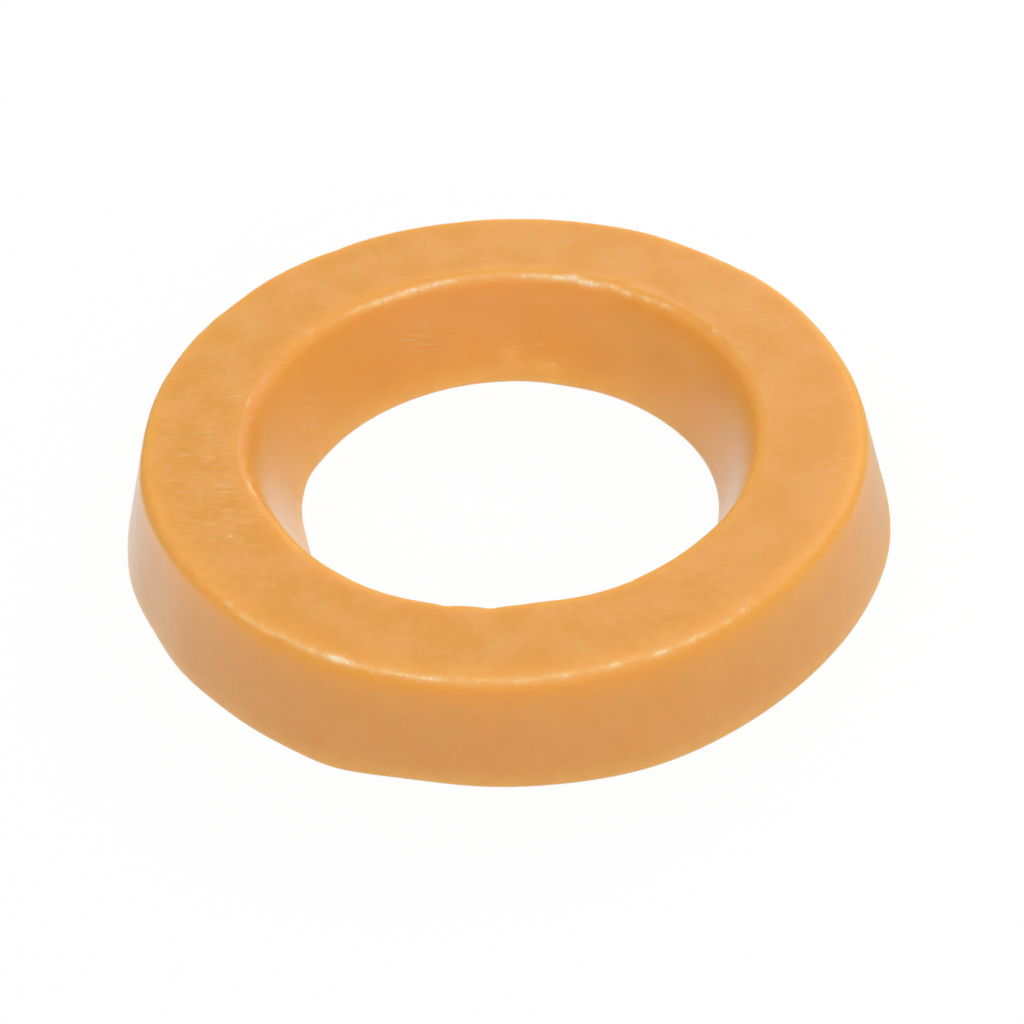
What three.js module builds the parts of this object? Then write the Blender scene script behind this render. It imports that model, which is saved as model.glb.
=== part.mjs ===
// A soft wax ring that seals a toilet pan to the soil pipe under it.
// It is one cast piece: a wide flat foot, a narrower flat top, a sloping outer wall and a bore
// that narrows towards the foot. Every edge is rounded, and handling has pushed the wax a little
// out of round and chipped the top edges.
// Millimetres, +Z up. The origin is the middle of the foot, and the angle 0 is along +X.
import * as THREE from "three";

// Section: the diameters where the faces of the ring would meet if its edges were sharp.
const FOOT_DIAMETER = 127;
const TOP_DIAMETER = 118.6;
const MOUTH_DIAMETER = 83.6;
const THROAT_DIAMETER = 69;
const HEIGHT = 18.6;

// Radii of the rounded edges. The two at the top are soft, and the two at the foot are crisp.
const RIM_ROUND = 2.2;
const MOUTH_ROUND = 2.6;
const FOOT_ROUND = 0.8;
const THROAT_ROUND = 0.8;

// How finely the surface is cut: steps round the ring, round an edge, and along a wall or face.
const RING_STEPS = 200;
const SOFT_EDGE_STEPS = 5;
const CRISP_EDGE_STEPS = 3;
const WALL_STEPS = 3;
const FACE_STEPS = 1;

// Where handling has pushed each edge of the ring: the angle and the reach to either side of it
// in degrees, and how far the edge moved out from the axis in millimetres (inwards if negative).
const FOOT_PUSHES = [
  { at: 36, reach: 16, out: 0.35 },
  { at: 72, reach: 12, out: -0.25 },
  { at: 104, reach: 14, out: 0.2 },
  { at: 140, reach: 16, out: -0.45 },
  { at: 191, reach: 6, out: 0.2 },
  { at: 204, reach: 7, out: -0.45 },
  { at: 221, reach: 8, out: -0.35 },
  { at: 243, reach: 6, out: 0.65 },
  { at: 256, reach: 8, out: -0.5 },
  { at: 288, reach: 12, out: 0.65 },
  { at: 317, reach: 12, out: -0.25 },
  { at: 347, reach: 11, out: 0.5 },
];
const RIM_PUSHES = [
  { at: 18, reach: 16, out: -0.35 },
  { at: 52, reach: 7, out: -0.4 },
  { at: 72, reach: 10, out: -0.2 },
  { at: 127, reach: 20, out: 0.45 },
  { at: 176, reach: 8, out: -0.35 },
  { at: 212, reach: 14, out: -0.3 },
  { at: 262, reach: 16, out: 0.3 },
  { at: 316, reach: 14, out: -0.3 },
];
const MOUTH_PUSHES = [
  { at: 30, reach: 18, out: 0.25 },
  { at: 208, reach: 12, out: -0.6 },
  { at: 243, reach: 12, out: 0.3 },
  { at: 276, reach: 6, out: -0.4 },
  { at: 293, reach: 6, out: 0.2 },
  { at: 315, reach: 9, out: -0.2 },
];
const THROAT_PUSHES = [
  { at: 6, reach: 25, out: 0.6 },
  { at: 70, reach: 7, out: -0.25 },
  { at: 125, reach: 22, out: -0.12 },
  { at: 160, reach: 7, out: 0.3 },
  { at: 190, reach: 15, out: -1.3 },
  { at: 255, reach: 20, out: -0.3 },
];

// Chips out of the two top edges: how far each one bites back into the wax.
const RIM_CHIPS = [
  { at: 44, reach: 2, bite: 0.3 },
  { at: 118, reach: 2.5, bite: 0.3 },
  { at: 139, reach: 3, bite: 0.25 },
  { at: 234, reach: 2, bite: 0.25 },
];
const MOUTH_CHIPS = [
  { at: 256, reach: 2, bite: 0.45 },
  { at: 265.5, reach: 2, bite: 0.6 },
  { at: 62, reach: 2.5, bite: 0.35 },
];
// A chip reaches this far down from the top.
const CHIP_DEPTH = 2.5;

const WAX_COLOUR = "#e4a25a";

/** The middle of the push or chip counts fully, and it fades smoothly to nothing on both sides. */
function fade(angle, at, reach) {
  const turn = THREE.MathUtils.euclideanModulo(angle - at + 180, 360) - 180;
  return Math.exp(-((turn / reach) ** 2));
}

/** How far the pushes move an edge away from the axis at an angle. */
function pushed(pushes, angle) {
  return pushes.reduce((sum, { at, reach, out }) => sum + out * fade(angle, at, reach), 0);
}

/** How deep the chips bite into an edge at an angle and a height. */
function chipped(chips, angle, z) {
  const depth = THREE.MathUtils.smoothstep(z, HEIGHT - CHIP_DEPTH, HEIGHT);
  return depth * chips.reduce((sum, { at, reach, bite }) => sum + bite * fade(angle, at, reach), 0);
}

/** The corner's rounded edge as an arc, run from the side of the corner before it to the one after. */
function roundedCorner(before, { corner, round }, after) {
  const back = before.clone().sub(corner).normalize();
  const on = after.clone().sub(corner).normalize();
  const half = Math.acos(THREE.MathUtils.clamp(back.dot(on), -1, 1)) / 2;
  const centre = back.clone().add(on).normalize().multiplyScalar(round / Math.sin(half)).add(corner);
  const touch = (way) => way.clone().multiplyScalar(round / Math.tan(half)).add(corner).sub(centre);
  const clockwise = back.cross(on) > 0;
  return new THREE.EllipseCurve(
    centre.x, centre.y, round, round, touch(back).angle(), touch(on).angle(), clockwise,
  );
}

/** The ring's section as a closed run of points (radius, height), with its four edges rounded. */
function sectionPoints() {
  const edges = [
    { corner: new THREE.Vector2(FOOT_DIAMETER / 2, 0), round: FOOT_ROUND, steps: CRISP_EDGE_STEPS },
    { corner: new THREE.Vector2(TOP_DIAMETER / 2, HEIGHT), round: RIM_ROUND, steps: SOFT_EDGE_STEPS },
    { corner: new THREE.Vector2(MOUTH_DIAMETER / 2, HEIGHT), round: MOUTH_ROUND, steps: SOFT_EDGE_STEPS },
    { corner: new THREE.Vector2(THROAT_DIAMETER / 2, 0), round: THROAT_ROUND, steps: CRISP_EDGE_STEPS },
  ];
  const arcs = edges.map((edge, i) =>
    roundedCorner(edges.at(i - 1).corner, edge, edges[(i + 1) % edges.length].corner),
  );
  const points = arcs.flatMap((arc, i) => {
    const next = arcs[(i + 1) % arcs.length];
    const straight = new THREE.LineCurve(arc.getPoint(1), next.getPoint(0));
    const steps = i % 2 === 0 ? WALL_STEPS : FACE_STEPS;
    return [
      ...arc.getPoints(edges[i].steps).slice(0, -1),
      ...straight.getPoints(steps).slice(0, -1),
    ];
  });
  return [...points, points[0]];
}

/** How far the wax at a point of the true ring was moved away from the axis by pushes and chips. */
function movedOut(radius, angle, z) {
  const rise = z / HEIGHT;
  const inner = THREE.MathUtils.lerp(THROAT_DIAMETER, MOUTH_DIAMETER, rise) / 2;
  const outer = THREE.MathUtils.lerp(FOOT_DIAMETER, TOP_DIAMETER, rise) / 2;
  const across = THREE.MathUtils.clamp((radius - inner) / (outer - inner), 0, 1);
  const boreSide =
    THREE.MathUtils.lerp(pushed(THROAT_PUSHES, angle), pushed(MOUTH_PUSHES, angle), rise) +
    chipped(MOUTH_CHIPS, angle, z);
  const outerSide =
    THREE.MathUtils.lerp(pushed(FOOT_PUSHES, angle), pushed(RIM_PUSHES, angle), rise) -
    chipped(RIM_CHIPS, angle, z);
  return THREE.MathUtils.lerp(boreSide, outerSide, across);
}

/** The section turned round the axis, then moved as the soft wax was. */
function ringGeometry() {
  const geometry = new THREE.LatheGeometry(sectionPoints(), RING_STEPS).rotateX(Math.PI / 2);
  const position = geometry.getAttribute("position");
  const point = new THREE.Vector3();
  for (let i = 0; i < position.count; i += 1) {
    point.fromBufferAttribute(position, i);
    const radius = Math.hypot(point.x, point.y);
    const angle = THREE.MathUtils.radToDeg(Math.atan2(point.y, point.x));
    const stretch = 1 + movedOut(radius, angle, point.z) / radius;
    position.setXY(i, point.x * stretch, point.y * stretch);
  }
  geometry.computeVertexNormals();
  return geometry;
}

const waxRing = new THREE.Mesh(
  ringGeometry(),
  new THREE.MeshStandardMaterial({ color: WAX_COLOUR, roughness: 0.45, metalness: 0 }),
);
waxRing.name = "wax_ring";

const panSeal = new THREE.Group();
panSeal.add(waxRing);

export default panSeal;
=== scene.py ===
"""The looks of a soft wax seal for a toilet pan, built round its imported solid.

Positions are in metres. Sizes whose names end in _mm are in millimetres, and angles are in
degrees: 0 is along +X, 90 is the back of the ring and 270 faces the camera.
"""

from __future__ import annotations

import logging
import math
from dataclasses import dataclass
from enum import Enum

import bpy
import numpy as np
from mathutils import Matrix, Vector, noise

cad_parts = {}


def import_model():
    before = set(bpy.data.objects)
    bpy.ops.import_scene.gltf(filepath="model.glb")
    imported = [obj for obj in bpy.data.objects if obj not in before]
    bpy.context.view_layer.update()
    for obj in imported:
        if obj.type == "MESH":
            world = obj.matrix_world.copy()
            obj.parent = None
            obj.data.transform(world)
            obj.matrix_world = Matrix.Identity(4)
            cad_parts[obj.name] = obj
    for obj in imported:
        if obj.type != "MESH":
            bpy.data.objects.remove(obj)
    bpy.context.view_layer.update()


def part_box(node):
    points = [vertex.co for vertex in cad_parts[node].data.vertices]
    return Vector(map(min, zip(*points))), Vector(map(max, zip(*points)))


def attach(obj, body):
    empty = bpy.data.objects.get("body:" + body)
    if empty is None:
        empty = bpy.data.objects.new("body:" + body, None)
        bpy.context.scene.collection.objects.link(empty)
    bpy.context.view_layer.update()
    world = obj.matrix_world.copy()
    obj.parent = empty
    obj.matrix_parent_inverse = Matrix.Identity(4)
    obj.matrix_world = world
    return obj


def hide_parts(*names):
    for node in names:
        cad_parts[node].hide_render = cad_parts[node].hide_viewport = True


LOG = logging.getLogger("pan_seal")
MM = 0.001
RIGHT, BACK, LEFT, FRONT = 0.0, 90.0, 180.0, 270.0

Colour = tuple[float, float, float, float]
Socket = bpy.types.NodeSocket


def turned_back(angles: np.ndarray, middle: float) -> np.ndarray:
    """The angles measured from a middle one, between -180 and 180 degrees."""
    return (angles - middle + 180.0) % 360.0 - 180.0


def bell(distance: np.ndarray, reach: float | np.ndarray) -> np.ndarray:
    """A smooth hump that is 1 at distance 0 and fades out past the reach."""
    return np.exp(-((distance / reach) ** 2))


def eased(value: np.ndarray, low: float, high: float) -> np.ndarray:
    """A smooth step from 0 at low to 1 at high."""
    share = np.clip((value - low) / (high - low), 0.0, 1.0)
    return share * share * (3.0 - 2.0 * share)


def ripple(points: np.ndarray, wavelength: float, seed: int) -> np.ndarray:
    """Smooth noise over space.

    Args:
        points: Positions, one row each.
        wavelength: How far apart the humps are, in the unit of the points.
        seed: A whole number that picks another field of the same kind.

    Returns:
        One value between about -1 and 1 for each point.
    """
    shift = Vector((17.3, 5.1, 9.7)) * seed
    return np.array([noise.noise(Vector(point) / wavelength + shift) for point in points])


class Edge(Enum):
    """The four rounded edges of the ring, in order round its section."""

    FOOT = "foot"
    RIM = "rim"
    MOUTH = "mouth"
    THROAT = "throat"


@dataclass(frozen=True)
class Push:
    """A place where handling moved an edge of the ring.

    Attributes:
        at: The angle of its middle.
        reach: How far it reaches to either side, in degrees.
        out_mm: How far the edge moved away from the axis, or towards it if negative.
    """

    at: float
    reach: float
    out_mm: float

    def along(self, angles: np.ndarray) -> np.ndarray:
        """How far this push moves the edge at each angle, in millimetres."""
        return self.out_mm * bell(turned_back(angles, self.at), self.reach)


def pushes(*rows: tuple[float, float, float]) -> tuple[Push, ...]:
    """Pushes from rows of their sizes."""
    return tuple(Push(*row) for row in rows)


@dataclass(frozen=True)
class Corner:
    """One edge of the section.

    Attributes:
        radius_mm: Distance of the sharp corner from the axis.
        height_mm: Height of the sharp corner over the foot.
        round_mm: Radius of the rounded edge.
        steps: How many steps its arc is cut into.
        steps_after: How many steps the straight run after it is cut into.
        pushes: Where handling moved this edge.
    """

    radius_mm: float
    height_mm: float
    round_mm: float
    steps: int
    steps_after: int
    pushes: tuple[Push, ...]

    def place(self) -> np.ndarray:
        """The sharp corner as a point (radius, height)."""
        return np.array([self.radius_mm, self.height_mm])

    def moved(self, angles: np.ndarray) -> np.ndarray:
        """How far the edge has moved away from the axis at each angle, in millimetres."""
        return sum((push.along(angles) for push in self.pushes), np.zeros_like(angles))

    def arc(self, before: np.ndarray, after: np.ndarray) -> np.ndarray:
        """The rounded edge between its two neighbours.

        Args:
            before: The corner that comes before this one, as (radius, height).
            after: The corner that comes after it.

        Returns:
            The points of the arc, one row (radius, height) each.
        """
        here = self.place()
        back = (before - here) / np.linalg.norm(before - here)
        onward = (after - here) / np.linalg.norm(after - here)
        half = math.acos(float(np.clip(back @ onward, -1.0, 1.0))) / 2.0
        middle = back + onward
        centre = here + middle / np.linalg.norm(middle) * self.round_mm / math.sin(half)
        touch = self.round_mm / math.tan(half)
        first, last = here + back * touch - centre, here + onward * touch - centre
        start, end = math.atan2(first[1], first[0]), math.atan2(last[1], last[0])
        turn = (end - start + math.pi) % (2.0 * math.pi) - math.pi
        ways = start + turn * np.linspace(0.0, 1.0, self.steps + 1)
        return centre + self.round_mm * np.column_stack([np.cos(ways), np.sin(ways)])


@dataclass(frozen=True)
class Patch:
    """A small place on the skin that handling changed.

    Attributes:
        edge: The edge that it lies near.
        at: Its angle round the ring.
        along_mm: How far past the edge's middle it lies, along the section.
        wide_mm: Its reach round the ring.
        long_mm: Its reach along the section.
        amount: How much it changes the skin: a depth in millimetres, or a share.
    """

    edge: Edge
    at: float
    along_mm: float
    wide_mm: float
    long_mm: float
    amount: float


def patches(edge: Edge, *rows: tuple[float, float, float, float, float]) -> tuple[Patch, ...]:
    """Patches near one edge, from rows of their other sizes."""
    return tuple(Patch(edge, *row) for row in rows)


class Tint(Enum):
    """The wax that a stroke lays bare."""

    PALE = "scraped wax"
    AMBER = "clear wax"


@dataclass(frozen=True)
class Stroke:
    """A short line that something drew in the skin.

    Attributes:
        edge: The edge that its ends are measured from.
        start: Its first end: the angle, and how far past the edge's middle it lies in millimetres.
        end: Its last end, in the same way.
        wide_mm: How far it reaches to either side.
        share: How strongly it shows.
        tint: The wax that it lays bare.
    """

    edge: Edge
    start: tuple[float, float]
    end: tuple[float, float]
    wide_mm: float
    share: float
    tint: Tint = Tint.PALE


@dataclass(frozen=True)
class Line:
    """A stroke laid out in the unrolled skin.

    Attributes:
        start: Its first end, in metres.
        end: Its last end, in metres.
        stroke: The stroke itself.
    """

    start: Vector
    end: Vector
    stroke: Stroke


@dataclass
class RingMesh:
    """The surface of the ring as a grid: one row per step round the ring, one column per point of
    the section.

    Attributes:
        angles: The angle of each row.
        section: The points (radius, height) of the true section, in millimetres.
        run_mm: How far along the section each column lies.
        edge_run_mm: Where the middle of each rounded edge lies along the section.
        edge_radius_mm: How far each edge lies from the axis.
    """

    angles: np.ndarray
    section: np.ndarray
    run_mm: np.ndarray
    edge_run_mm: dict[Edge, float]
    edge_radius_mm: dict[Edge, float]

    def along_from(self, run_mm: float) -> np.ndarray:
        """How far each column lies from a place along the section, the short way round."""
        whole = self.run_mm[-1] + np.linalg.norm(self.section[-1] - self.section[0])
        return (self.run_mm - run_mm + whole / 2.0) % whole - whole / 2.0

    def past(self, edge: Edge) -> np.ndarray:
        """How far past the middle of an edge each column lies, in millimetres."""
        return self.along_from(self.edge_run_mm[edge])

    def near(self, edge: Edge, reach_mm: float) -> np.ndarray:
        """How close each column lies to an edge: 1 on it, fading out past the reach."""
        return bell(self.past(edge), reach_mm)

    def by(self, angle: float, reach: float) -> np.ndarray:
        """How close each row lies to an angle: 1 on it, fading out past the reach."""
        return bell(turned_back(self.angles, angle), reach)[:, None]

    def facing(self, angle: float) -> np.ndarray:
        """How squarely each row faces an angle: 1 on it, 0 a quarter turn off."""
        return np.cos(np.radians(self.angles - angle))[:, None]

    def summed(self, spots: tuple[Patch, ...]) -> np.ndarray:
        """The amounts of some patches added up.

        Args:
            spots: The patches.

        Returns:
            One number for each row and column.
        """
        total = np.zeros((len(self.angles), len(self.section)))
        for patch in spots:
            arm = math.radians(1.0) * self.edge_radius_mm[patch.edge]
            round_mm = turned_back(self.angles, patch.at) * arm
            along = self.along_from(self.edge_run_mm[patch.edge] + patch.along_mm)
            hump = bell(round_mm, patch.wide_mm)[:, None] * bell(along, patch.long_mm)
            total += patch.amount * hump
        return total

    def normals(self) -> np.ndarray:
        """The outward direction (radius, height) of the section at each column."""
        ahead, behind = np.roll(self.section, -1, 0), np.roll(self.section, 1, 0)
        run = ahead - behind
        outward = np.column_stack([run[:, 1], -run[:, 0]])
        return outward / np.linalg.norm(outward, axis=1, keepdims=True)


@dataclass
class WaxRing:
    """The cast ring of soft wax: the only piece of the seal.

    Attributes:
        steps_round: How many steps the ring is cut into round its axis.
        chip_depth_mm: How far down from the top the chips reach.
        crumb_lift: How far the middle of the crumbs stands over the skin, as a share.
        resting_mm: Up to what height the table kept the foot true.
        unrolled_radius_mm: The radius of the cylinder that the skin is unrolled on.
        sideways: How far the bore and the wall face sideways where they start and are full.
        upwards: How far the top faces up where it starts and is full.
    """

    foot_radius_mm: float = 63.5
    rim_radius_mm: float = 59.3
    mouth_radius_mm: float = 41.8
    throat_radius_mm: float = 34.5
    height_mm: float = 18.6
    steps_round: int = 960
    chip_depth_mm: float = 2.5
    slump_mm: float = 0.09
    slump_wavelength_mm: float = 16.0
    finger_mm: float = 0.035
    finger_wavelength_mm: float = 4.5
    ragged_mm: float = 0.1
    ragged_wavelength_mm: float = 1.7
    ragged_reach_mm: float = 1.4
    crumb_mm: float = 0.11
    crumb_wavelength_mm: float = 0.9
    crumb_lift: float = 0.3
    resting_mm: float = 1.5
    unrolled_radius_mm: float = 50.0
    sideways: tuple[float, float] = (0.2, 0.6)
    upwards: tuple[float, float] = (0.75, 1.0)

    def corners(self) -> dict[Edge, Corner]:
        """The four edges of the section, with where handling moved each of them."""
        foot = pushes(
            (36, 16, 0.35), (72, 12, -0.25), (104, 14, 0.2), (140, 16, -0.45), (191, 6, 0.2),
            (204, 7, -0.45), (221, 8, -0.35), (243, 6, 0.65), (256, 8, -0.5), (288, 12, 0.65),
            (317, 12, -0.25), (347, 11, 0.5),
        )
        rim = pushes(
            (18, 16, -0.35), (52, 7, -0.4), (72, 10, -0.2), (127, 20, 0.45), (176, 8, -0.35),
            (212, 14, -0.3), (262, 16, 0.3), (316, 14, -0.3),
        )
        mouth = pushes(
            (30, 18, 0.25), (208, 12, -0.6), (243, 12, 0.3), (276, 6, -0.4), (293, 6, 0.2),
            (315, 9, -0.2),
        )
        throat = pushes(
            (6, 25, 0.6), (70, 7, -0.25), (125, 22, -0.12), (160, 7, 0.3), (190, 15, -1.3),
            (255, 20, -0.3),
        )
        return {
            Edge.FOOT: Corner(self.foot_radius_mm, 0.0, 0.8, 6, 14, foot),
            Edge.RIM: Corner(self.rim_radius_mm, self.height_mm, 2.2, 14, 20, rim),
            Edge.MOUTH: Corner(self.mouth_radius_mm, self.height_mm, 2.6, 14, 18, mouth),
            Edge.THROAT: Corner(self.throat_radius_mm, 0.0, 0.8, 6, 4, throat),
        }

    def chips(self) -> dict[Edge, tuple[Push, ...]]:
        """Chips out of the two top edges, as moves of the wax away from or towards the axis."""
        return {
            Edge.RIM: pushes((44, 2, -0.3), (118, 2.5, -0.3), (139, 3, -0.25), (234, 2, -0.25)),
            Edge.MOUTH: pushes((256, 2, 0.45), (265.5, 2, 0.6), (62, 2.5, 0.35)),
        }

    def dents(self) -> tuple[Patch, ...]:
        """The small dents and raised spots that show on the ring, in millimetres of depth."""
        rim = patches(
            Edge.RIM,
            (142.0, 0.6, 1.6, 1.2, 0.18), (147.0, 0.4, 1.2, 1.0, 0.16), (48.0, 0.6, 1.8, 1.3, 0.2),
            (232.0, -0.8, 2.2, 1.2, 0.15), (246.0, 0.9, 2.4, 1.0, 0.12),
        )
        mouth = patches(
            Edge.MOUTH,
            (113.0, -0.45, 9.0, 1.0, 0.18), (74.0, -0.8, 1.8, 0.9, 0.14), (60.0, -1.2, 1.2, 1.1, 0.15),
            (188.0, 0.6, 1.6, 1.0, 0.14),
        )
        throat = patches(
            Edge.THROAT,
            (88.0, -3.6, 3.0, 1.6, 0.16), (80.0, -2.4, 1.6, 1.0, -0.12),
        )
        return rim + mouth + throat

    def rubs_and_highlights(self) -> tuple[Patch, ...]:
        """Where scuffing left pale wax on the two top edges, and where painted highlights lie along
        them, in long bands at the front of the rim and the back of the mouth.
        """
        rim = patches(
            Edge.RIM,
            (266.0, 0.65, 46.0, 0.75, 0.4), (221.6, 0.7, 0.9, 0.45, 0.6), (226.0, 0.5, 2.2, 0.45, 0.5),
            (229.5, 0.5, 1.6, 0.4, 0.5), (233.2, 0.6, 1.6, 0.45, 0.45), (237.8, 0.55, 2.0, 0.5, 0.5),
            (243.2, 0.75, 2.3, 0.6, 1.15), (252.0, 0.6, 4.5, 0.4, 0.45), (257.5, 0.6, 2.0, 0.4, 0.5),
            (271.2, 0.4, 1.6, 0.4, 0.4), (277.0, 0.4, 1.8, 0.4, 0.45), (284.6, 0.6, 1.8, 0.45, 0.6),
            (292.2, 0.45, 1.6, 0.5, 0.8), (298.0, 0.55, 2.6, 0.45, 0.65), (304.0, 0.6, 0.7, 0.4, 0.4),
            (307.5, 0.9, 1.1, 0.45, 0.45),
        )
        mouth = patches(
            Edge.MOUTH,
            (94.0, 0.1, 30.0, 0.65, 0.35), (32.0, -1.0, 0.7, 0.4, 0.45), (46.8, -0.2, 1.2, 0.45, 0.8),
            (52.0, 0.0, 1.4, 0.45, 0.6), (57.5, 0.3, 1.3, 0.5, 0.75), (61.5, 0.0, 1.5, 0.5, 0.88),
            (67.0, 0.3, 2.4, 0.6, 0.95), (71.5, -0.7, 1.6, 0.5, 0.85), (74.5, 0.0, 3.4, 0.6, 0.8),
            (82.0, 0.0, 2.2, 0.5, 0.55), (103.0, 0.1, 2.8, 0.5, 0.65), (110.5, 0.35, 3.8, 0.6, 0.68),
            (118.0, 0.3, 3.0, 0.55, 0.58), (124.5, 0.0, 1.6, 0.45, 0.5), (138.0, -0.8, 0.8, 0.4, 0.45),
            (165.5, -1.2, 1.0, 0.3, 0.6), (180.0, -1.0, 9.0, 0.25, 0.15), (194.5, -0.6, 2.2, 0.25, 0.5),
        )
        return rim + mouth

    def bands(self) -> tuple[Patch, ...]:
        """Where the bore just under its mouth is a darker, deeper amber, on its left side, as shares.
        """
        return patches(
            Edge.MOUTH,
            (181.0, 0.9, 10.0, 1.1, 0.85), (178.0, 2.7, 8.0, 1.0, 0.6), (172.0, -0.6, 20.0, 1.3, 0.75),
            (200.0, 0.5, 6.0, 0.5, 0.8),
        )

    def thin_spots(self) -> tuple[Patch, ...]:
        """Where the wax over the throat is smeared and clearer, as shares of clear wax."""
        return patches(
            Edge.THROAT,
            (80.0, -2.8, 5.5, 2.2, 0.85), (87.5, -5.4, 2.4, 1.6, 0.55), (74.0, -2.2, 2.0, 1.6, 0.6),
        )

    def scores(self) -> tuple[Patch, ...]:
        """Where fine lines lie close together, on the top and in the bore."""
        return patches(
            Edge.MOUTH,
            (186.0, -8.0, 17.0, 8.0, 1.0), (198.0, -3.0, 7.0, 4.0, 0.6), (152.0, -12.5, 6.0, 3.0, 0.7),
            (344.0, -13.3, 6.0, 1.8, 1.0), (109.0, 9.5, 7.0, 4.0, 1.0), (80.0, 14.0, 5.5, 2.5, 1.3),
            (150.0, 10.0, 6.0, 5.0, 0.5),
        )

    def strokes(self) -> tuple[Stroke, ...]:
        """The single lines and spots that show on the top, in the bore and on the wall."""
        mouth = (
            ((164.3, -2.5), (165.0, -5.0), 0.16, 0.55),
            ((205.2, -1.0), (198.3, -7.5), 0.17, 0.25),
            ((203.6, -8.3), (199.5, -12.5), 0.17, 0.22),
            ((207.4, -8.0), (207.8, -7.3), 0.28, 0.6),
            ((193.5, -0.5), (198.0, -0.2), 0.2, 0.4),
            ((79.6, 12.3), (77.6, 12.2), 0.22, 0.35),
            ((87.4, 13.7), (86.4, 13.8), 0.3, 0.45),
            ((75.2, 15.6), (73.6, 15.9), 0.3, 0.45),
        )
        deep = Stroke(Edge.RIM, (240.2, -14.2), (241.4, -14.6), 0.5, 0.8, Tint.AMBER)
        return tuple(Stroke(Edge.MOUTH, *row) for row in mouth) + (deep,)

    def lines(self) -> list[Line]:
        """The strokes laid out in the unrolled skin, as the finish reads it."""
        grid, arm = self.grid(), self.unrolled_radius_mm

        def laid_out(edge: Edge, end: tuple[float, float]) -> Vector:
            """One end of a stroke, in metres."""
            way, run_mm = math.radians(end[0]), grid.edge_run_mm[edge] + end[1]
            return Vector((arm * math.cos(way), arm * math.sin(way), run_mm)) * MM

        return [
            Line(laid_out(stroke.edge, stroke.start), laid_out(stroke.edge, stroke.end), stroke)
            for stroke in self.strokes()
        ]

    def grid(self) -> RingMesh:
        """The true ring before any handling, as a grid."""
        corners = self.corners()
        order = list(Edge)
        places = [corners[edge].place() for edge in order]
        columns: list[np.ndarray] = []
        middles: dict[Edge, int] = {}
        arcs = [
            corners[edge].arc(places[i - 1], places[(i + 1) % len(order)])
            for i, edge in enumerate(order)
        ]
        count = 0
        for i, edge in enumerate(order):
            corner, arc = corners[edge], arcs[i]
            middles[edge] = count + corner.steps // 2
            shares = np.linspace(0.0, 1.0, corner.steps_after + 1)[1:-1, None]
            straight = arc[-1] + (arcs[(i + 1) % len(order)][0] - arc[-1]) * shares
            columns += [arc, straight]
            count += len(arc) + len(straight)
        section = np.concatenate(columns)
        steps = np.linalg.norm(np.diff(section, axis=0), axis=1)
        run_mm = np.concatenate([[0.0], np.cumsum(steps)])
        angles = np.arange(self.steps_round) * 360.0 / self.steps_round
        edge_run_mm = {edge: float(run_mm[index]) for edge, index in middles.items()}
        edge_radius_mm = {edge: corner.radius_mm for edge, corner in corners.items()}
        return RingMesh(angles, section, run_mm, edge_run_mm, edge_radius_mm)

    def moved_out(self, grid: RingMesh) -> np.ndarray:
        """How far pushes and chips moved the wax away from the axis.

        Args:
            grid: The true ring.

        Returns:
            Millimetres for each row and column of the grid.
        """
        corners = self.corners()
        edge_moves = {edge: corner.moved(grid.angles)[:, None] for edge, corner in corners.items()}
        radius, height = grid.section[:, 0], grid.section[:, 1]
        rise = height / self.height_mm
        bite = eased(height, self.height_mm - self.chip_depth_mm, self.height_mm)
        inner = self.throat_radius_mm + (self.mouth_radius_mm - self.throat_radius_mm) * rise
        outer = self.foot_radius_mm + (self.rim_radius_mm - self.foot_radius_mm) * rise
        across = np.clip((radius - inner) / (outer - inner), 0.0, 1.0)
        chips = {
            edge: sum(chip.along(grid.angles) for chip in chips)[:, None] * bite
            for edge, chips in self.chips().items()
        }
        bore_side = (
            edge_moves[Edge.THROAT] * (1.0 - rise) + edge_moves[Edge.MOUTH] * rise + chips[Edge.MOUTH]
        )
        outer_side = (
            edge_moves[Edge.FOOT] * (1.0 - rise) + edge_moves[Edge.RIM] * rise + chips[Edge.RIM]
        )
        return bore_side * (1.0 - across) + outer_side * across

    def pressed_in(self, grid: RingMesh, points: np.ndarray) -> np.ndarray:
        """How far the skin is pressed in by dents, fingers and slumping.

        Args:
            grid: The true ring.
            points: The grid's points after the pushes, in millimetres, one row each.

        Returns:
            Millimetres for each row and column of the grid.
        """
        shape = (len(grid.angles), len(grid.section))
        resting = eased(grid.section[:, 1], 0.0, self.resting_mm)
        depth = self.slump_mm * ripple(points, self.slump_wavelength_mm, 1).reshape(shape)
        depth += self.finger_mm * ripple(points, self.finger_wavelength_mm, 2).reshape(shape)
        ragged = ripple(points, self.ragged_wavelength_mm, 3).reshape(shape)
        crumbs = ripple(points, self.crumb_wavelength_mm, 4).reshape(shape)
        handled = {
            Edge.RIM: 0.1 + 0.9 * grid.by(247.0, 38.0),
            Edge.MOUTH: 0.3 + 0.7 * grid.by(85.0, 60.0),
        }
        for edge, share in handled.items():
            depth += self.ragged_mm * ragged * grid.near(edge, self.ragged_reach_mm) * share
        rubbed_and_highlit = np.clip(grid.summed(self.rubs_and_highlights()), 0.0, 1.0)
        depth -= self.crumb_mm * (self.crumb_lift + crumbs) * rubbed_and_highlit
        return (depth + grid.summed(self.dents())) * resting

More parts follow.
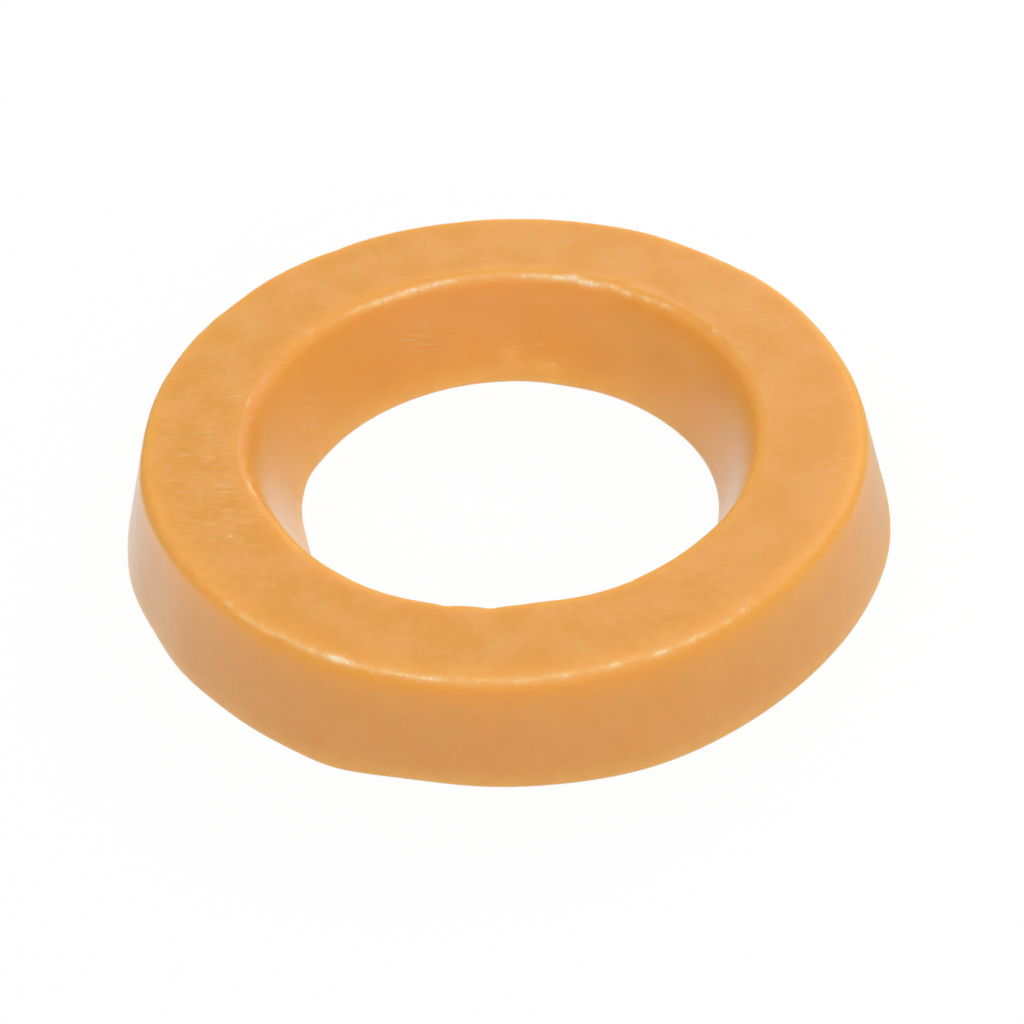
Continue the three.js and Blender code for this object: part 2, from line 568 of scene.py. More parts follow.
    def shaped(self, grid: RingMesh) -> np.ndarray:
        """The ring's points after all handling.

        Args:
            grid: The true ring.

        Returns:
            Positions in metres, one row per point, the section's columns running fastest.
        """
        ways = np.radians(grid.angles)[:, None]
        radius = grid.section[:, 0] + self.moved_out(grid)
        height = np.broadcast_to(grid.section[:, 1], radius.shape)
        points = np.stack([radius * np.cos(ways), radius * np.sin(ways), height], -1)
        depth = self.pressed_in(grid, points.reshape(-1, 3))
        out, up = grid.normals().T
        radius = radius - depth * out
        height = np.maximum(height - depth * up, 0.0)
        points = np.stack([radius * np.cos(ways), radius * np.sin(ways), height], -1)
        return points.reshape(-1, 3) * MM

    def build(self) -> bpy.types.Object:
        """Makes the ring's mesh with the values that its finish reads.

        Returns:
            The new object, in the scene.
        """
        grid = self.grid()
        rows, columns = len(grid.angles), len(grid.section)
        points = self.shaped(grid)
        row, column = np.divmod(np.arange(rows * columns), columns)
        next_row, next_column = (row + 1) % rows, (column + 1) % columns
        around = ((row, column), (next_row, column), (next_row, next_column), (row, next_column))
        faces = np.column_stack([across * columns + along for across, along in around])
        mesh = bpy.data.meshes.new("wax_ring_skin")
        mesh.from_pydata(points.tolist(), [], faces.tolist())
        mesh.shade_smooth()
        self.mark(mesh, grid)
        mesh.update()
        ring = bpy.data.objects.new("wax_ring_skin", mesh)
        bpy.context.scene.collection.objects.link(ring)
        return ring

    def mark(self, mesh: bpy.types.Mesh, grid: RingMesh) -> None:
        """Stores, at every point, what the finish needs to know of where it lies.

        Args:
            mesh: The ring's mesh.
            grid: The true ring.
        """
        shape = (len(grid.angles), len(grid.section))
        values = {**self.painted_glows(grid), **self.faces(grid), **self.wear(grid)}
        for name, value in values.items():
            layer = mesh.attributes.new(name, "FLOAT", "POINT")
            layer.data.foreach_set("value", np.broadcast_to(value, shape).astype(np.float32).ravel())
        ways, arm = np.radians(grid.angles)[:, None], self.unrolled_radius_mm
        parts = (arm * np.cos(ways), arm * np.sin(ways), grid.run_mm)
        skin = np.stack([np.broadcast_to(part, shape) for part in parts], -1) * MM
        layer = mesh.attributes.new("unrolled", "FLOAT_VECTOR", "POINT")
        layer.data.foreach_set("vector", skin.astype(np.float32).ravel())

    def painted_glows(self, grid: RingMesh) -> dict[str, np.ndarray]:
        """A painted glow of light through the wax by its edges: brighter, more amber colour at the rim,
        mouth, foot and throat, and over the smears on the throat.

        Args:
            grid: The true ring.

        Returns:
            Shares for each row and column, by name.
        """
        right, left, front = grid.facing(RIGHT), grid.facing(LEFT), grid.facing(FRONT)
        past_rim, past_mouth = grid.past(Edge.RIM), grid.past(Edge.MOUTH)
        over_rim = 1.4 + 1.8 * eased(front, -0.4, 0.3)
        under_rim = 4.6 - 2.2 * eased(right, 0.75, 0.95) - 1.1 * eased(left, 0.85, 0.98)
        rim = bell(past_rim, np.where(past_rim > 0.0, over_rim, under_rim))
        over_mouth = 2.4 - 1.0 * eased(front, 0.3, 0.8) - 0.8 * eased(right, 0.5, 0.9)
        under_mouth = 3.6 - 2.4 * eased(left, 0.8, 0.97)
        mouth = bell(past_mouth, np.where(past_mouth > 0.0, under_mouth, over_mouth))
        mouth *= 1.0 - 0.7 * eased(left, 0.8, 0.97)
        mouth *= 1.0 - 0.5 * eased(right, 0.6, 0.95) * eased(-past_mouth, -1.0, 1.0)
        throat_share = 1.0 - 0.8 * eased(right, 0.6, 0.95) - 0.3 * eased(left, 0.8, 1.0)
        foot = np.maximum(grid.near(Edge.FOOT, 2.2), grid.near(Edge.THROAT, 3.2) * throat_share)
        thin = np.clip(grid.summed(self.thin_spots()), 0.0, 1.0)
        return {"painted_edge_glow": np.maximum(rim, mouth), "painted_foot_glow": np.maximum(foot, thin)}

    def faces(self, grid: RingMesh) -> dict[str, np.ndarray]:
        """Which face of the ring the skin belongs to, where painted shade and painted shading lie, and
        how amber or waxy it is there.

        Args:
            grid: The true ring.

        Returns:
            Shares for each row and column, by name.
        """
        right, left, front = grid.facing(RIGHT), grid.facing(LEFT), grid.facing(FRONT)
        out, up = grid.normals().T
        in_bore, on_wall = eased(-out, *self.sideways), eased(out, *self.sideways)
        past_mouth = grid.past(Edge.MOUTH)
        in_shade = 1.0 - bell(past_mouth, 2.0 + 1.5 * eased(right, 0.5, 0.95))
        mouth_depth = 2.0 + 4.5 * eased(right, 0.5, 0.95) + 1.2 * eased(left, 0.85, 1.0)
        below_mouth = 1.0 - bell(past_mouth, mouth_depth)
        off_foot = 1.0 - 0.7 * grid.near(Edge.FOOT, 4.0) * eased(right, 0.9, 1.0)
        off_rim = 1.0 - grid.near(Edge.RIM, 2.0) * eased(front, 0.5, 0.95)
        wall_film = 1.0 - 0.4 * eased(right, 0.4, 0.9)
        wall_film -= 0.22 * eased(right, 0.965, 1.0) + 0.12 * eased(left, 0.95, 1.0)
        bore_film = 1.0 - 0.5 * grid.by(167.0, 19.0) - 0.06 * eased(right, 0.9, 1.0)
        film = in_bore * below_mouth * bore_film + on_wall * off_foot * wall_film
        # Painted shade: the far sides of the bore and the wall get a darker colour, for how light falls
        # there.
        painted_shade_bore = 0.7 * grid.by(344.0, 24.0) + 0.8 * grid.by(186.0, 24.0)
        painted_shade_wall = 0.8 * eased(left, 0.88, 1.0) + 0.7 * eased(right, 0.93, 1.0)
        return {
            "flat_top": eased(up, *self.upwards),
            "bore_side": in_bore,
            # Painted shading: the bore's right side, under its mouth, gets a paler, yellower colour for
            # how light falls there.
            "painted_bore_shading": in_bore * in_shade * eased(right, 0.25, 0.7),
            "painted_side_shade": in_bore * below_mouth * painted_shade_bore + on_wall * painted_shade_wall,
            "banded": eased(-out, 0.05, 0.35) * np.clip(grid.summed(self.bands()), 0.0, 1.0),
            "film": eased(np.abs(out), 0.7, 0.96) * off_rim * film,
        }

    def wear(self, grid: RingMesh) -> dict[str, np.ndarray]:
        """How smoothed, scored and grainy the skin is, and where it is scuffed pale and painted with
        highlights.

        Args:
            grid: The true ring.

        Returns:
            Shares for each row and column, by name.
        """
        left, front, back = grid.facing(LEFT), grid.facing(FRONT), grid.facing(BACK)
        on_top = eased(grid.normals()[:, 1], *self.upwards)
        smoothed_rim = grid.near(Edge.RIM, 2.0) * eased(front, 0.1, 0.6)
        smoothed_mouth = grid.near(Edge.MOUTH, 2.2) * eased(back, 0.1, 0.6)
        return {
            "gloss": np.maximum(smoothed_rim, smoothed_mouth),
            "rubbed_and_highlit": np.clip(grid.summed(self.rubs_and_highlights()), 0.0, 1.2),
            "scored": grid.summed(self.scores()),
            "grain": 0.055 + (0.02 * front + 0.05 * eased(left, 0.3, 0.9)) * on_top,
        }


@dataclass
class NodeBench:
    """Makes and joins the nodes of one material or world.

    Attributes:
        tree: The node tree that it works on.
    """

    tree: bpy.types.NodeTree

    def add(self, kind: str, **settings: object) -> bpy.types.Node:
        """Adds a node.

        Args:
            kind: Blender's name of the node type, without the ShaderNode that starts it.
            settings: Properties of the node, by name.

        Returns:
            The new node.
        """
        node = self.tree.nodes.new(f"ShaderNode{kind}")
        for name, value in settings.items():
            setattr(node, name, value)
        return node

    def feed(self, socket: Socket, value: object) -> None:
        """Joins an output to a socket, or sets the socket to a plain value."""
        if isinstance(value, Socket):
            self.tree.links.new(value, socket)
        else:
            socket.default_value = value

    def math(self, operation: str, *values: object, clamp: bool = False) -> Socket:
        """A sum or other operation on numbers.

        Args:
            operation: Blender's name of the operation.
            values: Outputs or numbers that go in.
            clamp: Whether the result is kept between 0 and 1.

        Returns:
            The output with the result.
        """
        node = self.add("Math", operation=operation, use_clamp=clamp)
        for socket, value in zip(node.inputs, values):
            self.feed(socket, value)
        return node.outputs[0]

    def vector(self, operation: str, *values: object, scale: object = None) -> bpy.types.Node:
        """An operation on vectors.

        Args:
            operation: Blender's name of the operation.
            values: Outputs or plain vectors that go in.
            scale: The number that a vector is scaled by, for SCALE alone.

        Returns:
            The node, with the result in one of its outputs.
        """
        node = self.add("VectorMath", operation=operation)
        for socket, value in zip(node.inputs, values):
            self.feed(socket, value)
        if scale is not None:
            self.feed(node.inputs["Scale"], scale)
        return node

    def spread(
        self, value: object, low: float, high: float, new_low: float = 0.0, new_high: float = 1.0
    ) -> Socket:
        """Carries one range of numbers over to another, kept inside it.

        Args:
            value: The number that goes in.
            low: The lowest number that counts.
            high: The highest number that counts.
            new_low: What low becomes.
            new_high: What high becomes.

        Returns:
            The output with the result.
        """
        node = self.add("MapRange")
        for socket, number in zip(node.inputs, (value, low, high, new_low, new_high)):
            self.feed(socket, number)
        return node.outputs[0]

    def blend(self, share: object, first: object, second: object) -> Socket:
        """Blends two colours.

        Args:
            share: How much of the second one there is.
            first: The first colour.
            second: The second colour.

        Returns:
            The output with the colour.
        """
        node = self.add("Mix", data_type="RGBA")
        self.feed(node.inputs[0], share)
        self.feed(node.inputs[6], first)
        self.feed(node.inputs[7], second)
        return node.outputs[2]

    def speckle(
        self, place: object, scale: float, detail: float = 0.0, roughness: float = 0.5
    ) -> Socket:
        """Noise over a place, between 0 and 1.

        Args:
            place: The output that gives the place.
            scale: How many humps there are to one unit of the place.
            detail: How many finer layers it has.
            roughness: How strong the finer layers are.

        Returns:
            The output with the number.
        """
        node = self.add("TexNoise")
        self.feed(node.inputs["Vector"], place)
        node.inputs["Scale"].default_value = scale
        node.inputs["Detail"].default_value = detail
        node.inputs["Roughness"].default_value = roughness
        return node.outputs[0]

    def stored(self, name: str) -> bpy.types.Node:
        """The node that reads a value stored at the mesh's points."""
        return self.add("Attribute", attribute_name=name)

    def seen(self) -> Socket:
        """1 for what the camera sees directly, by reflection or through something, else 0."""
        rays = self.add("LightPath")
        seen = self.math("MAXIMUM", rays.outputs["Is Camera Ray"], rays.outputs["Is Glossy Ray"])
        return self.math("MAXIMUM", seen, rays.outputs["Is Transmission Ray"])


class WaxSkin:
    """The patterns in the skin of the wax, between 0 and 1, each made once in one material.

    Fineness is in humps to the metre. A spread says which numbers of a pattern count, from the
    lowest to the highest, and what those two become.
    """

    CLOUD_FINENESS = 150.0
    LUMP_FINENESS = 380.0
    GRAIN_FINENESS = 650.0
    CRUMB_FINENESS = 1400.0
    FINE_LAYERS = (1.0, 0.6)
    TOP_LINE_FINENESS = (300.0, 1900.0, 0.0)
    TOP_LINE_WAVER = (0.0, 1.4, 0.0)
    TOP_LINE_SPREAD = (0.5, 0.75, 0.0, 0.24)
    BORE_LINE_FINENESS = (260.0, 0.0, 2300.0)
    BORE_LINE_SPREAD = (0.5, 0.75, 0.0, 0.4)
    LINE_TILT_BACK = 0.66
    LINE_TILT_UP = 0.75
    LINE_BREAK_SPREAD = (0.38, 0.62, 0.1, 1.0)
    STROKE_CORE = 0.3
    STROKE_SKIRT = 1.6
    STROKE_BREAK_SPREAD = (0.35, 0.6, 0.2, 1.0)
    GRAINS_IN_CLOUDS = 0.45
    CLOUD_SPREAD = (0.32, 0.75, 0.0, 0.85)
    CLOUD_REACH_SPREAD = (0.0, 1.0, 0.55, 1.0)
    PAINTED_GLOW_SPREAD = (0.35, 0.65, 0.6, 0.95)
    BLOOM_AND_SHEEN_SPREAD = (0.3, 0.7, 0.42, 0.95)
    FLAKE_AND_HIGHLIGHT_RUB = 0.5
    FLAKE_AND_HIGHLIGHT_SPREAD = (0.72, 1.15, 0.0, 0.95)
    CRUMBLE_AND_GLINT_RUB = 0.7
    CRUMBLE_AND_GLINT_SPREAD = (1.12, 1.45, 0.0, 0.8)
    CRUMB_RELIEF_SPREAD = (0.0, 1.0, 0.3, 1.2)

    MARKS = (
        "painted_edge_glow", "painted_foot_glow", "flat_top", "bore_side", "painted_bore_shading", "painted_side_shade",
        "banded", "film", "gloss", "rubbed_and_highlit", "scored", "grain",
    )

    def __init__(self, bench: NodeBench, lines: list[Line]) -> None:
        """Makes the patterns.

        Args:
            bench: Where the nodes are made.
            lines: The strokes in the skin.
        """
        self.bench = bench
        self.lines = lines
        self.place = bench.add("TexCoord").outputs["Object"]
        self.unrolled = bench.stored("unrolled").outputs["Vector"]
        self.marks = {name: bench.stored(name).outputs["Fac"] for name in self.MARKS}
        self.clouds = bench.speckle(self.place, self.CLOUD_FINENESS)
        self.lumps = bench.speckle(self.place, self.LUMP_FINENESS)
        self.grains = bench.speckle(self.place, self.GRAIN_FINENESS, *self.FINE_LAYERS)
        self.crumbs = bench.speckle(self.place, self.CRUMB_FINENESS, *self.FINE_LAYERS)
        self.crosswise = self.crosswise_lines()
        self.level = self.level_lines()
        self.pale_lines = self.drawn(Tint.PALE)
        self.amber_lines = self.drawn(Tint.AMBER)

    def crosswise_lines(self) -> Socket:
        """Fine lines on the top that run from left to right, where it is scored."""
        bench = self.bench
        drawn_out = bench.vector("MULTIPLY", self.place, self.TOP_LINE_FINENESS).outputs[0]
        wavering = bench.vector("MULTIPLY_ADD", self.clouds, self.TOP_LINE_WAVER, drawn_out).outputs[0]
        lines = bench.spread(bench.speckle(wavering, 1.0), *self.TOP_LINE_SPREAD)
        where = bench.math("MULTIPLY", self.marks["scored"], self.marks["flat_top"])
        return bench.math("MULTIPLY", lines, where)

    def level_lines(self) -> Socket:
        """Fine lines in the bore, where it is scored, in planes that fall towards the back."""
        bench = self.bench
        apart = bench.add("SeparateXYZ")
        bench.feed(apart.inputs[0], self.place)
        lifted = bench.math("MULTIPLY", apart.outputs["Z"], self.LINE_TILT_UP)
        rise = bench.math("MULTIPLY_ADD", apart.outputs["Y"], self.LINE_TILT_BACK, lifted)
        joined = bench.add("CombineXYZ")
        bench.feed(joined.inputs["X"], apart.outputs["X"])
        bench.feed(joined.inputs["Z"], rise)
        drawn_out = bench.vector("MULTIPLY", joined.outputs[0], self.BORE_LINE_FINENESS).outputs[0]
        lines = bench.spread(bench.speckle(drawn_out, 1.0), *self.BORE_LINE_SPREAD)
        where = bench.math("MULTIPLY", self.marks["scored"], self.marks["bore_side"])
        return bench.math("MULTIPLY", lines, where)

    def drawn(self, tint: Tint) -> Socket:
        """Where the strokes of one tint show.

        Args:
            tint: The tint of the strokes.

        Returns:
            The output with their share.
        """
        shares = [self.stroke(line) for line in self.lines if line.stroke.tint is tint]
        share = shares[0]
        for other in shares[1:]:
            share = self.bench.math("MAXIMUM", share, other)
        broken = self.bench.spread(self.grains, *self.STROKE_BREAK_SPREAD)
        return self.bench.math("MULTIPLY", share, broken)

    def stroke(self, line: Line) -> Socket:
        """How much of one stroke shows at a point, from the point's distance to it.

        Args:
            line: The stroke's ends.

        Returns:
            The output with its share.
        """
        bench = self.bench
        way = line.end - line.start
        from_start = bench.vector("SUBTRACT", self.unrolled, tuple(line.start)).outputs[0]
        dot = bench.vector("DOT_PRODUCT", from_start, tuple(way / way.length_squared))
        along = bench.spread(dot.outputs["Value"], 0.0, 1.0)
        nearest = bench.vector("SCALE", tuple(way), scale=along).outputs[0]
        gap = bench.vector("DISTANCE", from_start, nearest).outputs["Value"]
        wide = line.stroke.wide_mm * MM
        core, skirt = self.STROKE_CORE * wide, self.STROKE_SKIRT * wide
        return bench.spread(gap, core, skirt, line.stroke.share, 0.0)

    def centred(self, pattern: Socket) -> Socket:
        """A pattern moved so that its middle lies at 0."""
        return self.bench.math("SUBTRACT", pattern, 0.5)

    def tone(self) -> Socket:
        """How light the wax is at a point, about 1: grains, strongest on the top."""
        return self.bench.math("MULTIPLY_ADD", self.centred(self.grains), self.marks["grain"], 1.0)

    def cloudy(self) -> Socket:
        """How milky the wax is at a point: broad clouds broken up by the grains."""
        bench = self.bench
        grains = self.centred(self.grains)
        both = bench.math("MULTIPLY_ADD", grains, self.GRAINS_IN_CLOUDS, self.clouds)
        reach = bench.spread(self.marks["flat_top"], *self.CLOUD_REACH_SPREAD)
        return bench.math("MULTIPLY", bench.spread(both, *self.CLOUD_SPREAD), reach)

    def clear(self) -> Socket:
        """The painted glow of light through the wax at a point: by the two foot edges, unevenly."""
        uneven = self.bench.spread(self.lumps, *self.PAINTED_GLOW_SPREAD)
        return self.bench.math("MULTIPLY", self.marks["painted_foot_glow"], uneven)

    def flakes_and_highlights(self) -> Socket:
        """Where the edges are pale: a soft painted highlight band, with pale scuffs, partly painted
        highlights, where the marks are strongest.
        """
        bench, rubbed_and_highlit = self.bench, self.marks["rubbed_and_highlit"]
        bloom_and_sheen = bench.math("MULTIPLY", rubbed_and_highlit, bench.spread(self.grains, *self.BLOOM_AND_SHEEN_SPREAD))
        flaked_and_highlit = bench.math("MULTIPLY_ADD", rubbed_and_highlit, self.FLAKE_AND_HIGHLIGHT_RUB, self.crumbs)
        return bench.math("MAXIMUM", bloom_and_sheen, bench.spread(flaked_and_highlit, *self.FLAKE_AND_HIGHLIGHT_SPREAD), clamp=True)

    def crumbled_and_glinting(self) -> Socket:
        """Where the edges are nearly white, from scuffed wax and from painted glints: only where the
        marks are strongest.
        """
        rubbed_and_highlit = self.marks["rubbed_and_highlit"]
        worst = self.bench.math("MULTIPLY_ADD", rubbed_and_highlit, self.CRUMBLE_AND_GLINT_RUB, self.crumbs)
        return self.bench.spread(worst, *self.CRUMBLE_AND_GLINT_SPREAD)

    def scratches(self) -> Socket:
        """Where scraped wax shows: in the fields of fine lines, broken by grains, and in strokes."""
        bench = self.bench
        broken = bench.spread(self.lumps, *self.LINE_BREAK_SPREAD)
        fields = bench.math("MULTIPLY", bench.math("ADD", self.crosswise, self.level), broken)
        return bench.math("MAXIMUM", fields, self.pale_lines)

    def height(self) -> Socket:
        """The height of the fine relief at a point, in the finish's unit of relief."""
        bench = self.bench
        reach = bench.spread(self.marks["gloss"], *self.CRUMB_RELIEF_SPREAD)
        return bench.math("MULTIPLY_ADD", self.crumbs, reach, self.lumps)


@dataclass(frozen=True)
class WaxFinish:
    """Honey-coloured petroleum wax: cloudy inside, matt on its top and waxy on its walls.

    Colours are linear.

    Attributes:
        bleed: How far each colour of light runs in the wax, as shares of the bleed scale.
        bleed_scale: How far red light runs in it, in metres.
        held_share: How much less light runs through it by the foot edges.
        edge_share: How much of the painted glow colour the edges have.
        film_share: How much of the waxy film the walls carry.
        roughness_swing: How much the roughness varies from lump to lump.
        relief: How high the fine relief stands, in metres.
    """

    wall: Colour = (0.80, 0.352, 0.052, 1.0)
    top: Colour = (0.775, 0.338, 0.036, 1.0)
    # Painted light: the bore's colour is lighter than the wall's, standing in for the light that falls
    # into it.
    bore: Colour = (0.87, 0.41, 0.073, 1.0)
    # Painted shading: the paler colour of the bore's right side.
    painted_bore_shading: Colour = (0.86, 0.442, 0.111, 1.0)
    # Painted shade: the darker colour of the far sides of the wall and the bore.
    painted_side_shade: Colour = (0.68, 0.33, 0.066, 1.0)
    cloud: Colour = (0.81, 0.38, 0.077, 1.0)
    # Painted glow: the colours of light through the wax by the rim and mouth, by the foot, and by the
    # throat.
    edge: Colour = (0.875, 0.405, 0.042, 1.0)
    foot: Colour = (0.94, 0.44, 0.08, 1.0)
    throat: Colour = (0.97, 0.48, 0.095, 1.0)
    # Pale wax: the colour of scraped wax and of the painted highlight bands along the edges; the next
    # colour is partly painted glints.
    pale: Colour = (0.95, 0.69, 0.36, 1.0)
    white_flake_and_glint: Colour = (0.94, 0.82, 0.66, 1.0)
    amber: Colour = (0.86, 0.30, 0.02, 1.0)
    band: Colour = (0.75, 0.307, 0.028, 1.0)
    bleed: tuple[float, float, float] = (1.0, 0.42, 0.12)
    bleed_scale: float = 0.005
    held_share: float = 0.7
    edge_share: float = 0.85
    ior: float = 1.45
    film_share: float = 0.75
    film_roughness: float = 0.22
    top_roughness: float = 0.55
    wall_roughness: float = 0.36
    edge_roughness: float = 0.3
    roughness_swing: float = 0.05
    relief: float = 0.00006

    def material(self, lines: list[Line]) -> bpy.types.Material:
        """Builds the wax's node material.

        Args:
            lines: The strokes in its skin.

        Returns:
            The new material.
        """
        material = bpy.data.materials.new("honey_wax")
        material.use_nodes = True
        bench = NodeBench(material.node_tree)
        bench.tree.nodes.clear()
        shader = bench.add("BsdfPrincipled")
        output = bench.add("OutputMaterial")
        bench.feed(output.inputs["Surface"], shader.outputs[0])
        skin = WaxSkin(bench, lines)
        bench.feed(shader.inputs["Base Color"], self.colour(skin))
        bench.feed(shader.inputs["Roughness"], self.roughness(skin))
        relief = self.bent(skin)
        bench.feed(shader.inputs["Normal"], relief)
        bench.feed(shader.inputs["Coat Normal"], relief)
        film = bench.math("MULTIPLY", skin.marks["film"], self.film_share)
        bench.feed(shader.inputs["Coat Weight"], film)
        shader.inputs["Coat Roughness"].default_value = self.film_roughness
        shader.inputs["IOR"].default_value = self.ior
        held = bench.math("MULTIPLY", skin.marks["painted_foot_glow"], self.held_share)
        bench.feed(shader.inputs["Subsurface Weight"], bench.math("SUBTRACT", 1.0, held))
        shader.inputs["Subsurface Radius"].default_value = self.bleed
        shader.inputs["Subsurface Scale"].default_value = self.bleed_scale
        return material

    def colour(self, skin: WaxSkin) -> Socket:
        """The wax's colour: clouds and grains in the body, painted light and shade on its faces, a
        painted glow by its edges, and pale scuffs with painted highlights.

        Args:
            skin: The patterns in the skin.

        Returns:
            The output with the colour.
        """
        bench = skin.bench
        face = bench.blend(skin.marks["flat_top"], self.wall, self.top)
        # The bore's lighter colour is painted light.
        face = bench.blend(skin.marks["bore_side"], face, self.bore)
        # Painted shading on the bore's right side, then painted shade on the far sides of the wall and
        # the bore.
        face = bench.blend(skin.marks["painted_bore_shading"], face, self.painted_bore_shading)
        face = bench.blend(skin.marks["painted_side_shade"], face, self.painted_side_shade)
        wax = bench.blend(skin.cloudy(), face, self.cloud)
        # Painted glow by the rim and the mouth.
        by_edge = bench.math("MULTIPLY", skin.marks["painted_edge_glow"], self.edge_share)
        wax = bench.blend(by_edge, wax, self.edge)
        wax = bench.blend(skin.marks["banded"], wax, self.band)
        # Painted glow by the foot and the throat, and over the smears on the throat.
        clear = bench.blend(skin.marks["bore_side"], self.foot, self.throat)
        wax = bench.blend(skin.clear(), wax, clear)
        toned = bench.vector("SCALE", wax, scale=skin.tone()).outputs[0]
        # Painted highlights along the rim and the mouth, partly real pale scuffs, then near-white
        # painted glints.
        flaked_and_highlit = bench.blend(skin.flakes_and_highlights(), toned, self.pale)
        flaked_and_highlit = bench.blend(skin.crumbled_and_glinting(), flaked_and_highlit, self.white_flake_and_glint)
        flaked_and_highlit = bench.blend(skin.scratches(), flaked_and_highlit, self.pale)
        return bench.blend(skin.amber_lines, flaked_and_highlit, self.amber)

    def roughness(self, skin: WaxSkin) -> Socket:
        """How rough the skin is: matt on top, smoother on the walls and smoothest at the edges.

        Args:
            skin: The patterns in the skin.

        Returns:
            The output with the roughness.
        """
        bench = skin.bench
        face = bench.spread(skin.marks["film"], 0.0, 1.0, self.top_roughness, self.wall_roughness)
        lift = bench.math("SUBTRACT", self.edge_roughness, face)
        near = bench.math("MULTIPLY_ADD", skin.marks["gloss"], lift, face)
        lumps = skin.centred(skin.lumps)
        return bench.math("MULTIPLY_ADD", lumps, self.roughness_swing, near, clamp=True)

    def bent(self, skin: WaxSkin) -> Socket:
        """The fine relief of the skin.

        Args:
            skin: The patterns in the skin.

        Returns:
            The output with the bent normal.
        """
        bump = skin.bench.add("Bump")
        bump.inputs["Distance"].default_value = self.relief
        skin.bench.feed(bump.inputs["Height"], skin.height())
        return bump.outputs[0]


@dataclass(frozen=True)
class WhiteTable:
    """The plain white floor that the seal stands on.

    Attributes:
        radius: How far it reaches, in metres.
        grey: The colour of its paper, as one linear number.
        lit_share: How much of the light that falls on it the camera sees, the rest being plain white.
        corners: How many corners its round outline has.
    """

    radius: float = 4.0
    grey: float = 0.94
    lit_share: float = 0.05
    corners: int = 64

    def build(self, height: float) -> bpy.types.Object:
        """Makes the floor.

        Args:
            height: How high it lies, in metres.

        Returns:
            The new object, in the scene.
        """
        ways = np.linspace(0.0, 2.0 * math.pi, self.corners + 1)[:-1]
        rim = [(self.radius * math.cos(way), self.radius * math.sin(way), height) for way in ways]
        mesh = bpy.data.meshes.new("white_table")
        mesh.from_pydata(rim, [], [list(range(len(rim)))])
        mesh.materials.append(self.material())
        table = bpy.data.objects.new("white_table", mesh)
        bpy.context.scene.collection.objects.link(table)
        return table

    def material(self) -> bpy.types.Material:
        """Builds white paper that the camera and reflections see as nearly plain white."""
        material = bpy.data.materials.new("white_paper")
        material.use_nodes = True
        bench = NodeBench(material.node_tree)
        bench.tree.nodes.clear()
        paper = bench.add("BsdfDiffuse")
        paper.inputs["Color"].default_value = (self.grey, self.grey, self.grey, 1.0)
        white = bench.add("Emission")
        mix = bench.add("MixShader")
        bench.feed(mix.inputs[0], bench.math("MULTIPLY", bench.seen(), 1.0 - self.lit_share))
        bench.feed(mix.inputs[1], paper.outputs[0])
        bench.feed(mix.inputs[2], white.outputs[0])
        output = bench.add("OutputMaterial")
        bench.feed(output.inputs["Surface"], mix.outputs[0])
        return material


@dataclass(frozen=True)
class Softbox:
    """A soft rectangular lamp that faces the object.

    Attributes:
        name: What it is called.
        place: Where it hangs, in metres.
        size: Its width and depth, in metres.
        watts: Its power.
    """

    name: str
    place: tuple[float, float, float]
    size: tuple[float, float]
    watts: float

    def build(self, aim: Vector) -> bpy.types.Object:
        """Makes the lamp.

        Args:
            aim: The point that it faces.

        Returns:
            The new object, in the scene.
        """
        lamp = bpy.data.lights.new(self.name, "AREA")
        lamp.shape = "RECTANGLE"
        lamp.size, lamp.size_y = self.size
        lamp.energy = self.watts
        holder = bpy.data.objects.new(self.name, lamp)
        holder.location = self.place
        holder.rotation_mode = "QUATERNION"
        holder.rotation_quaternion = (aim - holder.location).to_track_quat("-Z", "Y")
        bpy.context.scene.collection.objects.link(holder)
        return holder


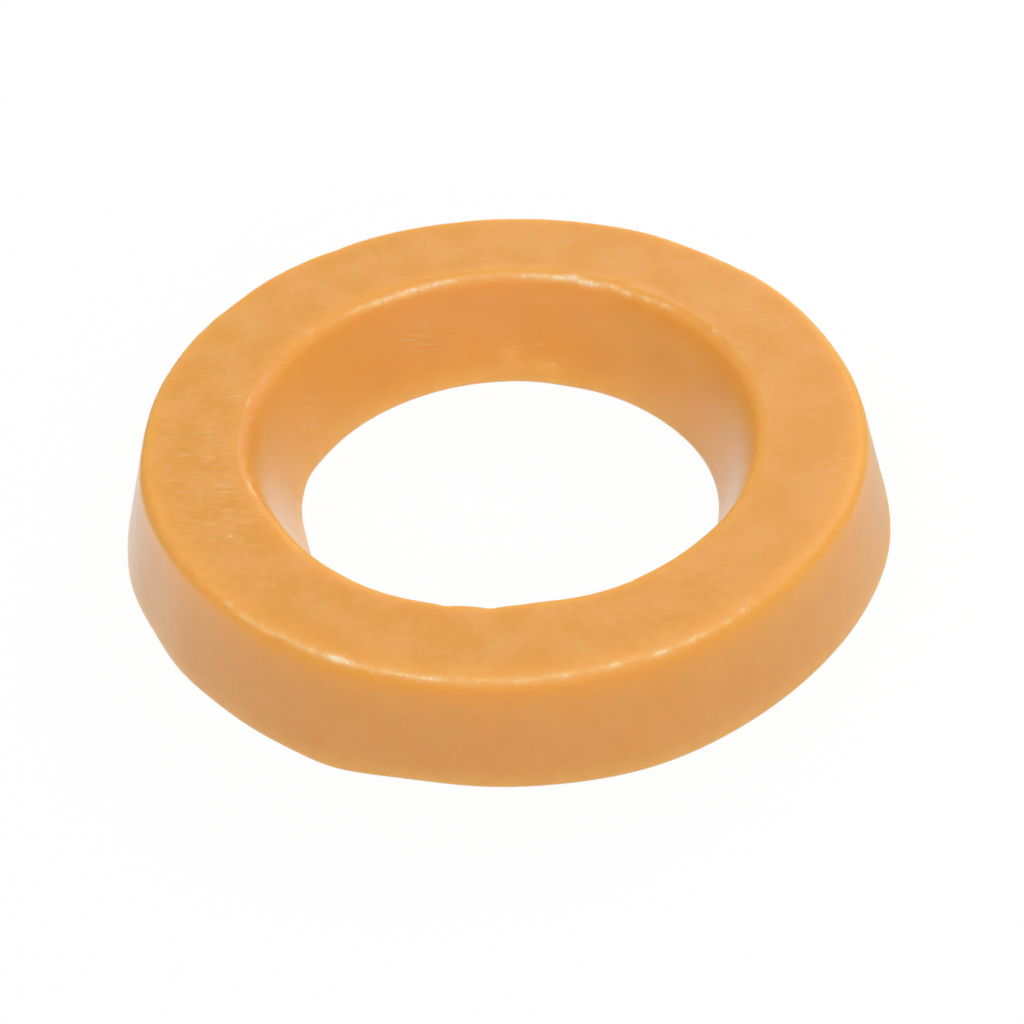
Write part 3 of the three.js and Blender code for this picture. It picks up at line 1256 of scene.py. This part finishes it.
@dataclass(frozen=True)
class Studio:
    """The soft light round the seal.

    Attributes:
        fill: How bright the surroundings are for the light that they give.
        lamps: The softboxes.
    """

    fill: float = 0.50
    lamps: tuple[Softbox, ...] = (
        Softbox("overhead_softbox", (0.0, 0.05, 1.0), (1.3, 0.08), 2.7),
        Softbox("front_softbox", (0.3, -0.85, 0.75), (1.5, 1.2), 3.7),
        Softbox("back_softbox", (0.5, 1.0, 0.7), (0.9, 0.3), 4.6),
    )

    def build(self, aim: Vector) -> None:
        """Makes the lamps and the white surroundings.

        Args:
            aim: The point that the lamps face.
        """
        for lamp in self.lamps:
            lamp.build(aim)
        world = bpy.data.worlds.new("white_studio")
        world.use_nodes = True
        bench = NodeBench(world.node_tree)
        bench.tree.nodes.clear()
        background = bench.add("Background")
        background.inputs["Color"].default_value = (1.0, 1.0, 1.0, 1.0)
        strength = bench.spread(bench.seen(), 0.0, 1.0, self.fill, 1.0)
        bench.feed(background.inputs["Strength"], strength)
        output = bench.add("OutputWorld")
        bench.feed(output.inputs["Surface"], background.outputs[0])
        bpy.context.scene.world = world


@dataclass(frozen=True)
class PhotoCamera:
    """The camera at the photograph's angle.

    Attributes:
        target_mm: The point in the middle of the picture.
        distance_mm: How far the camera is from it.
        elevation: How high it looks from, in degrees.
        roll: How far the picture is turned, in degrees.
        lens_mm: Its focal length.
        sensor_mm: The width of its sensor.
    """

    target_mm: tuple[float, float, float] = (0.86, -10.34, 9.53)
    distance_mm: float = 508.0
    elevation: float = 41.24
    roll: float = -3.05
    lens_mm: float = 109.74
    sensor_mm: float = 36.0

    def build(self) -> bpy.types.Object:
        """Makes the camera and gives it to the scene."""
        data = bpy.data.cameras.new("photo_camera")
        data.lens = self.lens_mm
        data.sensor_width = self.sensor_mm
        data.clip_start = 0.01
        camera = bpy.data.objects.new("photo_camera", data)
        rise = math.radians(self.elevation)
        back = Vector((0.0, -math.cos(rise), math.sin(rise)))
        turn = (-back).to_track_quat("-Z", "Y").to_matrix().to_4x4()
        tilt = Matrix.Rotation(math.radians(self.roll), 4, "Z")
        place = (Vector(self.target_mm) + back * self.distance_mm) * MM
        camera.matrix_world = Matrix.Translation(place) @ turn @ tilt
        bpy.context.scene.collection.objects.link(camera)
        bpy.context.scene.camera = camera
        return camera


def main() -> None:
    """Builds the seal, its table, its light and the camera."""
    logging.basicConfig(level=logging.INFO, format="%(name)s: %(message)s")
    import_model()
    bpy.context.scene.view_settings.view_transform = "Standard"
    PhotoCamera().build()
    shape = WaxRing()
    ring = shape.build()
    ring.data.materials.append(WaxFinish().material(shape.lines()))
    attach(ring, "root")
    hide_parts("wax_ring")
    LOG.info("%s: %d points, %d faces", ring.name, len(ring.data.vertices), len(ring.data.polygons))
    low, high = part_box("wax_ring")
    table = WhiteTable().build(low.z)
    LOG.info("%s: at height %.4f", table.name, low.z)
    Studio().build((low + high) / 2.0)


if __name__ == "__main__":
    main()
